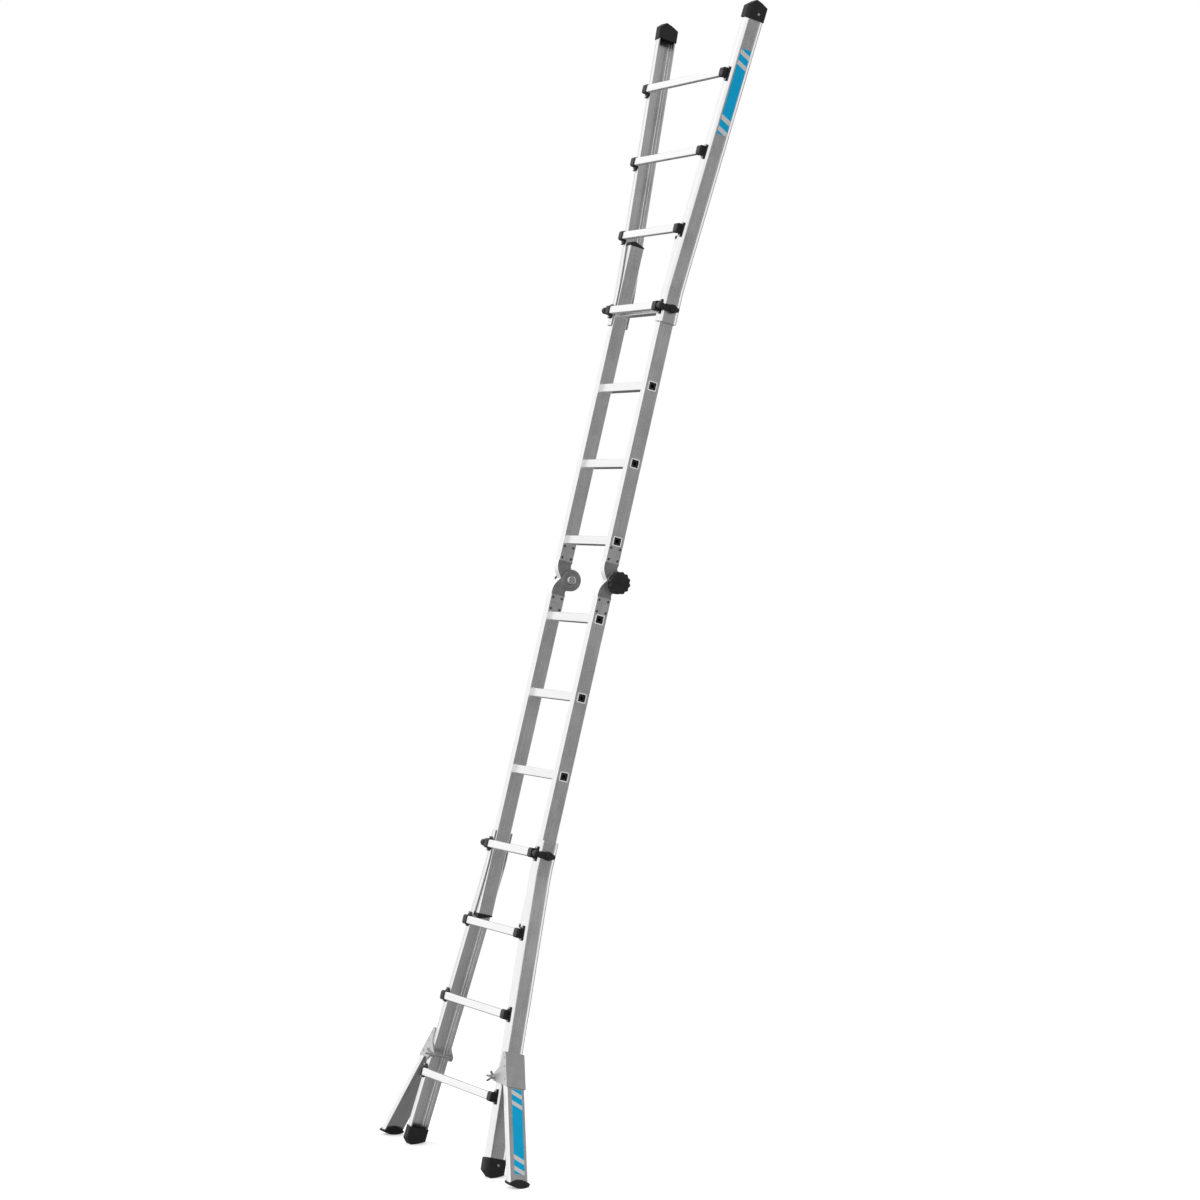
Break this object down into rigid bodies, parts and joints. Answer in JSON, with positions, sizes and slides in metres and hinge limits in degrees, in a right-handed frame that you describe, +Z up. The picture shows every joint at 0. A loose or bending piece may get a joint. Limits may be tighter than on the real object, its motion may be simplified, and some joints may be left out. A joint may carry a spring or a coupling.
{
  "type": "extension ladder",
  "caption": "Hinged telescopic ladder, straight and fully extended, with flared outer rails, rounded treads, pull locks, round hinge knobs and a clamped stabiliser leg on each side.",
  "frame": {"origin": "middle of the object's footprint box on the floor, at Z = 0", "axes": "+Z up, +X to the right across the rungs seen from the climber's side, +Y away from the climber, the way the ladder leans"},
  "size_m": [1.1228, 1.0995, 4.0429],
  "materials": {
    "aluminium": "satin extruded",
    "cast_aluminium": "satin, machined faces",
    "black_plastic": "fine moulded grain",
    "rubber": "matt",
    "zinc_steel": "zinc plated",
    "sticker_film": "printed film, blue with slanted pale stripes",
    "spring_steel": "bare wire"
  },
  "bodies": {
    "lower_outer": {"lower_outer_rail_right": "aluminium", "lower_outer_rail_left": "aluminium", "lower_outer_rungs": "aluminium", "lower_rung_brackets": "black_plastic", "lower_outer_rivets": "zinc_steel", "lower_rail_feet": "rubber", "lower_guide_pads": "black_plastic", "lower_lock_springs": "spring_steel"},
    "lower_inner": {"lower_inner_rail_right": "aluminium", "lower_inner_rail_left": "aluminium", "lower_inner_rungs": "aluminium", "lower_rung_bushes": "black_plastic", "lower_inner_end_caps": "black_plastic", "lower_hinge_arm_right": "cast_aluminium", "lower_hinge_arm_left": "cast_aluminium", "lower_hinge_rivets": "zinc_steel", "hinge_pins": "zinc_steel", "hinge_springs": "spring_steel"},
    "upper_inner": {"upper_inner_rail_right": "aluminium", "upper_inner_rail_left": "aluminium", "upper_inner_rungs": "aluminium", "upper_rung_bushes": "black_plastic", "upper_inner_end_caps": "black_plastic", "upper_hinge_arm_right": "cast_aluminium", "upper_hinge_arm_left": "cast_aluminium", "upper_hinge_rivets": "zinc_steel"},
    "upper_outer": {"upper_outer_rail_right": "aluminium", "upper_outer_rail_left": "aluminium", "upper_outer_rungs": "aluminium", "upper_rung_brackets": "black_plastic", "upper_outer_rivets": "zinc_steel", "upper_rail_caps": "rubber", "upper_guide_pads": "black_plastic", "upper_lock_springs": "spring_steel"},
    "lower_lock_handle_right": {"lower_lock_handle_right": "black_plastic", "lower_lock_bolts_right": "zinc_steel"},
    "upper_lock_handle_right": {"upper_lock_handle_right": "black_plastic", "upper_lock_bolts_right": "zinc_steel"},
    "hinge_knob_right": {"hinge_knob_right": "black_plastic", "hinge_lock_pins_right": "zinc_steel"},
    "stabiliser_right": {"stabiliser_bracket_right": "aluminium", "stabiliser_leg_right": "aluminium", "stabiliser_foot_right": "rubber", "stabiliser_rivets_right": "zinc_steel", "clamp_bolt_right": "zinc_steel"},
    "wing_nut_right": {"wing_nut_right": "zinc_steel"},
    "lower_lock_handle_left": {"lower_lock_handle_left": "black_plastic", "lower_lock_bolts_left": "zinc_steel"},
    "upper_lock_handle_left": {"upper_lock_handle_left": "black_plastic", "upper_lock_bolts_left": "zinc_steel"},
    "hinge_knob_left": {"hinge_knob_left": "black_plastic", "hinge_lock_pins_left": "zinc_steel"},
    "stabiliser_left": {"stabiliser_bracket_left": "aluminium", "stabiliser_leg_left": "aluminium", "stabiliser_foot_left": "rubber", "stabiliser_rivets_left": "zinc_steel", "clamp_bolt_left": "zinc_steel"},
    "wing_nut_left": {"wing_nut_left": "zinc_steel"}
  },
  "joints": [
    {"name": "lower_telescope", "type": "slide", "parent": "lower_outer", "child": "lower_inner", "axis": [0, 0.247, 0.969], "range_m": [-0.84, 0]},
    {"name": "fold", "type": "hinge", "parent": "lower_inner", "child": "upper_inner", "pos_m": [0, 0.03698, 2.00911], "axis": [-1, 0, 0], "range_deg": [0, 179]},
    {"name": "upper_telescope", "type": "slide", "parent": "upper_inner", "child": "upper_outer", "axis": [0, 0.247, 0.969], "range_m": [-0.84, 0]},
    {"name": "lower_lock_pull_right", "type": "slide", "parent": "lower_outer", "child": "lower_lock_handle_right", "axis": [1, 0, 0], "range_m": [0, 0.015], "stiffness_N_per_m": 600, "springref_m": -0.01},
    {"name": "upper_lock_pull_right", "type": "slide", "parent": "upper_outer", "child": "upper_lock_handle_right", "axis": [1, 0, 0], "range_m": [0, 0.015], "stiffness_N_per_m": 600, "springref_m": -0.01},
    {"name": "hinge_release_right", "type": "slide", "parent": "upper_inner", "child": "hinge_knob_right", "axis": [1, 0, 0], "range_m": [0, 0.005], "stiffness_N_per_m": 1500, "springref_m": -0.006},
    {"name": "stabiliser_slide_right", "type": "slide", "parent": "lower_outer", "child": "stabiliser_right", "axis": [-0.1413, 0.2445, 0.9593], "range_m": [0, 0.085]},
    {"name": "wing_nut_turn_right", "type": "hinge", "parent": "stabiliser_right", "child": "wing_nut_right", "pos_m": [0.258, -0.47474, 0.32946], "axis": [0, -0.969, 0.247], "continuous": true},
    {"name": "lower_lock_pull_left", "type": "slide", "parent": "lower_outer", "child": "lower_lock_handle_left", "axis": [-1, 0, 0], "range_m": [0, 0.015], "stiffness_N_per_m": 600, "springref_m": -0.01},
    {"name": "upper_lock_pull_left", "type": "slide", "parent": "upper_outer", "child": "upper_lock_handle_left", "axis": [-1, 0, 0], "range_m": [0, 0.015], "stiffness_N_per_m": 600, "springref_m": -0.01},
    {"name": "hinge_release_left", "type": "slide", "parent": "upper_inner", "child": "hinge_knob_left", "axis": [-1, 0, 0], "range_m": [0, 0.005], "stiffness_N_per_m": 1500, "springref_m": -0.006},
    {"name": "stabiliser_slide_left", "type": "slide", "parent": "lower_outer", "child": "stabiliser_left", "axis": [0.1413, 0.2445, 0.9593], "range_m": [0, 0.085]},
    {"name": "wing_nut_turn_left", "type": "hinge", "parent": "stabiliser_left", "child": "wing_nut_left", "pos_m": [-0.258, -0.47474, 0.32946], "axis": [0, -0.969, 0.247], "continuous": true}
  ]
}
